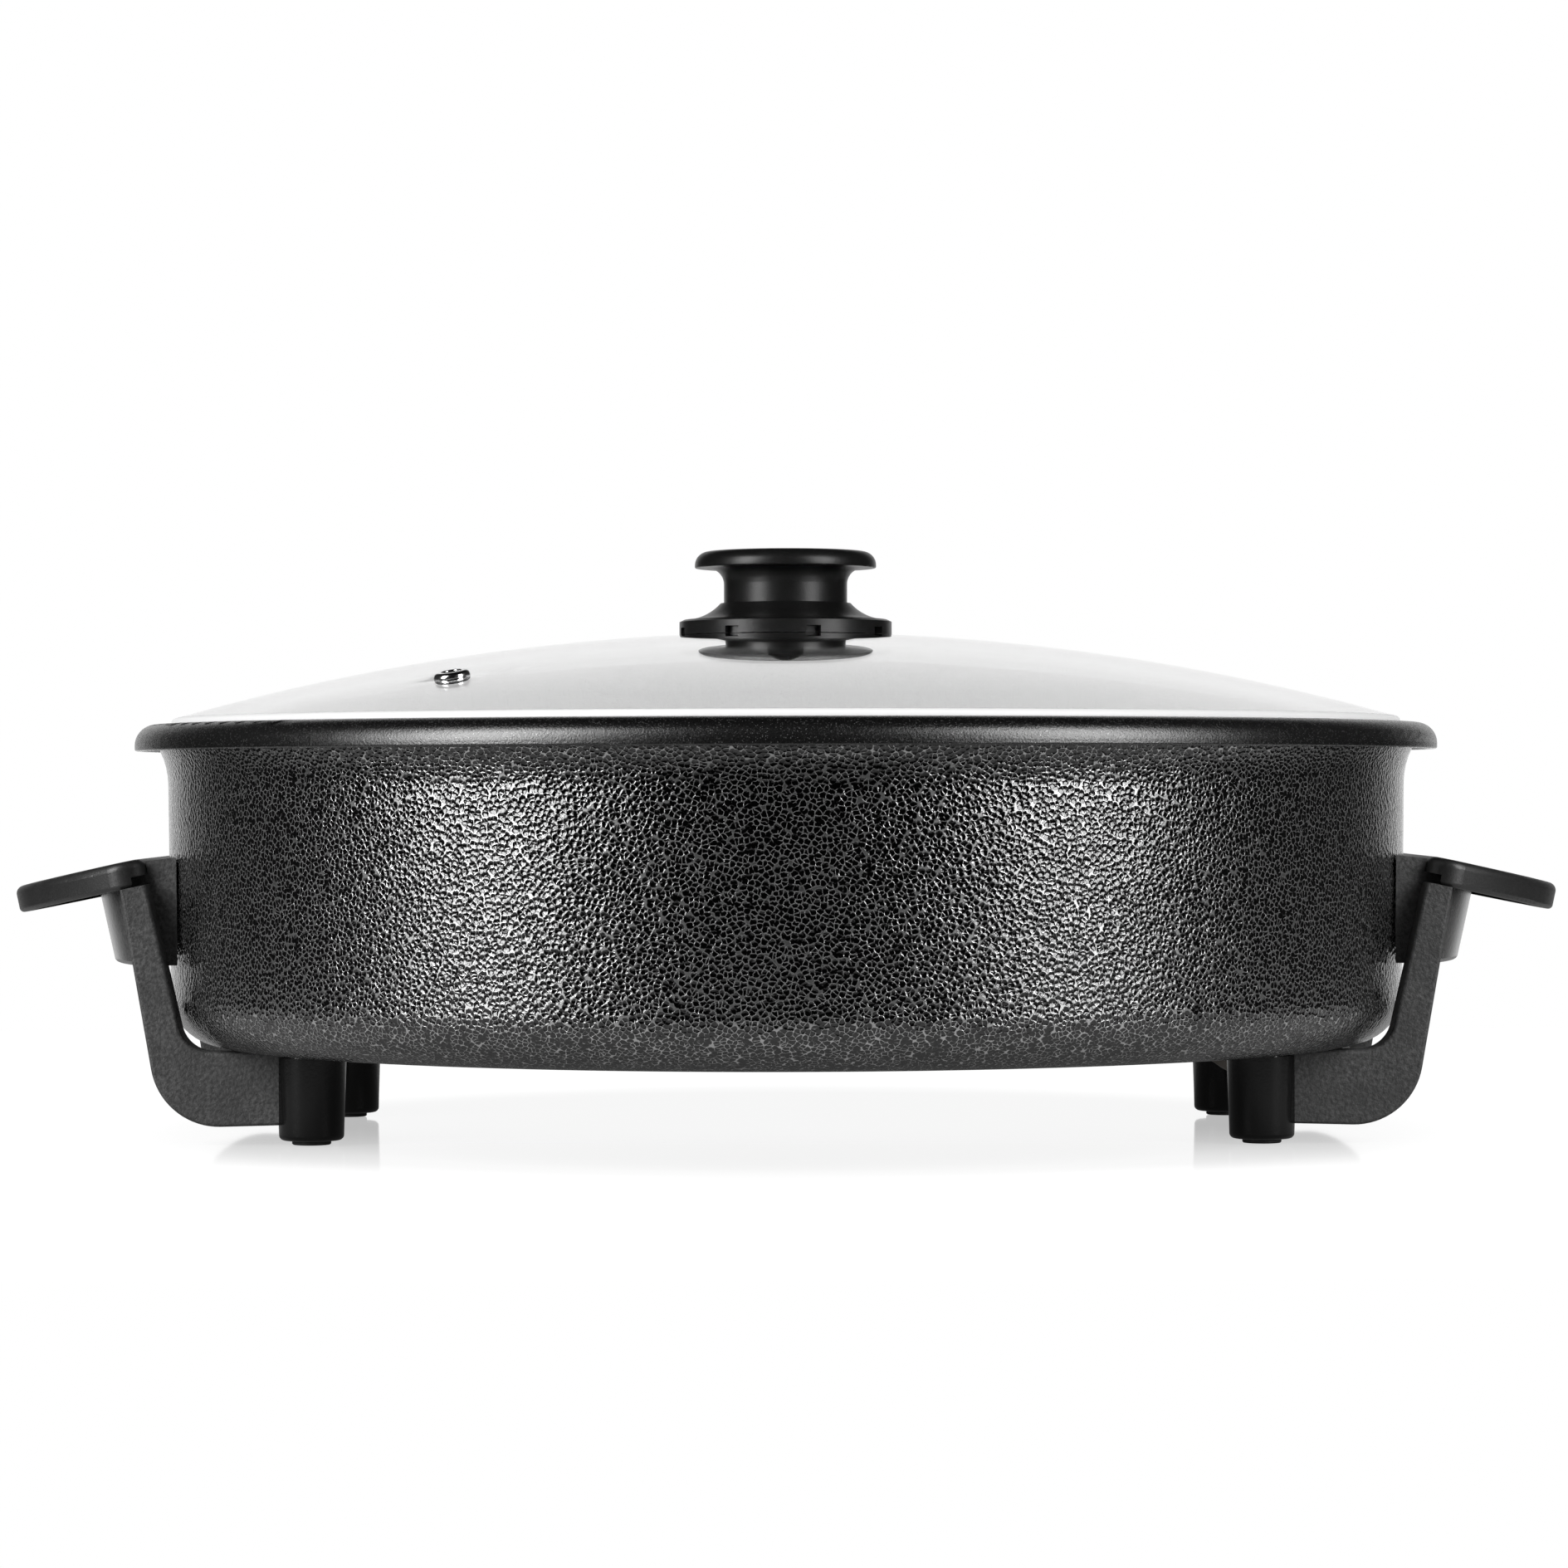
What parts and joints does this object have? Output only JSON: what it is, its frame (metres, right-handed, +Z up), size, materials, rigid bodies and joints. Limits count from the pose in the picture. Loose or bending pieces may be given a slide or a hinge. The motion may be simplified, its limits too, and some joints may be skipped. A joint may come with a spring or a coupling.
{
  "type": "electric pizza pan",
  "caption": "Deep round electric pan with a loose domed glass lid, standing on side handle brackets with feet, with a socket for a plug-in thermostat.",
  "frame": {"origin": "on the table, under the middle of the pan", "axes": "+Z up, +X towards the side with the thermostat socket, -Y to the front"},
  "size_m": [0.475, 0.4, 0.1788],
  "materials": {
    "pan": "black and silver hammertone paint outside, flecked black non-stick coat inside and on the rim",
    "element_steel": "dull, heat tinted",
    "contact_brass": "satin",
    "bead_ceramic": "unglazed",
    "guard_steel": "zinc plated",
    "screw_steel": "zinc plated",
    "bracket_plastic": "black phenolic, satin",
    "grip_plastic": "black phenolic, satin",
    "pad_rubber": "matt",
    "lid_glass": "clear toughened glass",
    "vent_chrome": "polished",
    "seal_rubber": "silicone",
    "knob_plastic": "black phenolic, half gloss"
  },
  "bodies": {
    "pan": {"pan_body": "pan", "heating_element": "element_steel", "terminal_pins": "contact_brass", "terminal_insulators": "bead_ceramic", "socket_guard": "guard_steel", "socket_screws": "screw_steel", "left_bracket": "bracket_plastic", "right_bracket": "bracket_plastic", "left_grip": "grip_plastic", "right_grip": "grip_plastic", "grip_screws": "screw_steel", "bracket_screws": "screw_steel", "bracket_washers": "screw_steel", "front_left_foot_pad": "pad_rubber", "front_right_foot_pad": "pad_rubber", "rear_left_foot_pad": "pad_rubber", "rear_right_foot_pad": "pad_rubber"},
    "lid": {"lid_glass": "lid_glass", "vent_eyelet": "vent_chrome", "vent_gasket": "seal_rubber", "knob_base": "knob_plastic", "knob_grip": "knob_plastic", "knob_insert": "contact_brass", "knob_seal": "seal_rubber", "knob_screw": "screw_steel"}
  },
  "joints": [
    {"name": "lid_lift", "type": "slide", "parent": "pan", "child": "lid", "axis": [0, 0, 1], "range_m": [0, 0.15]}
  ]
}
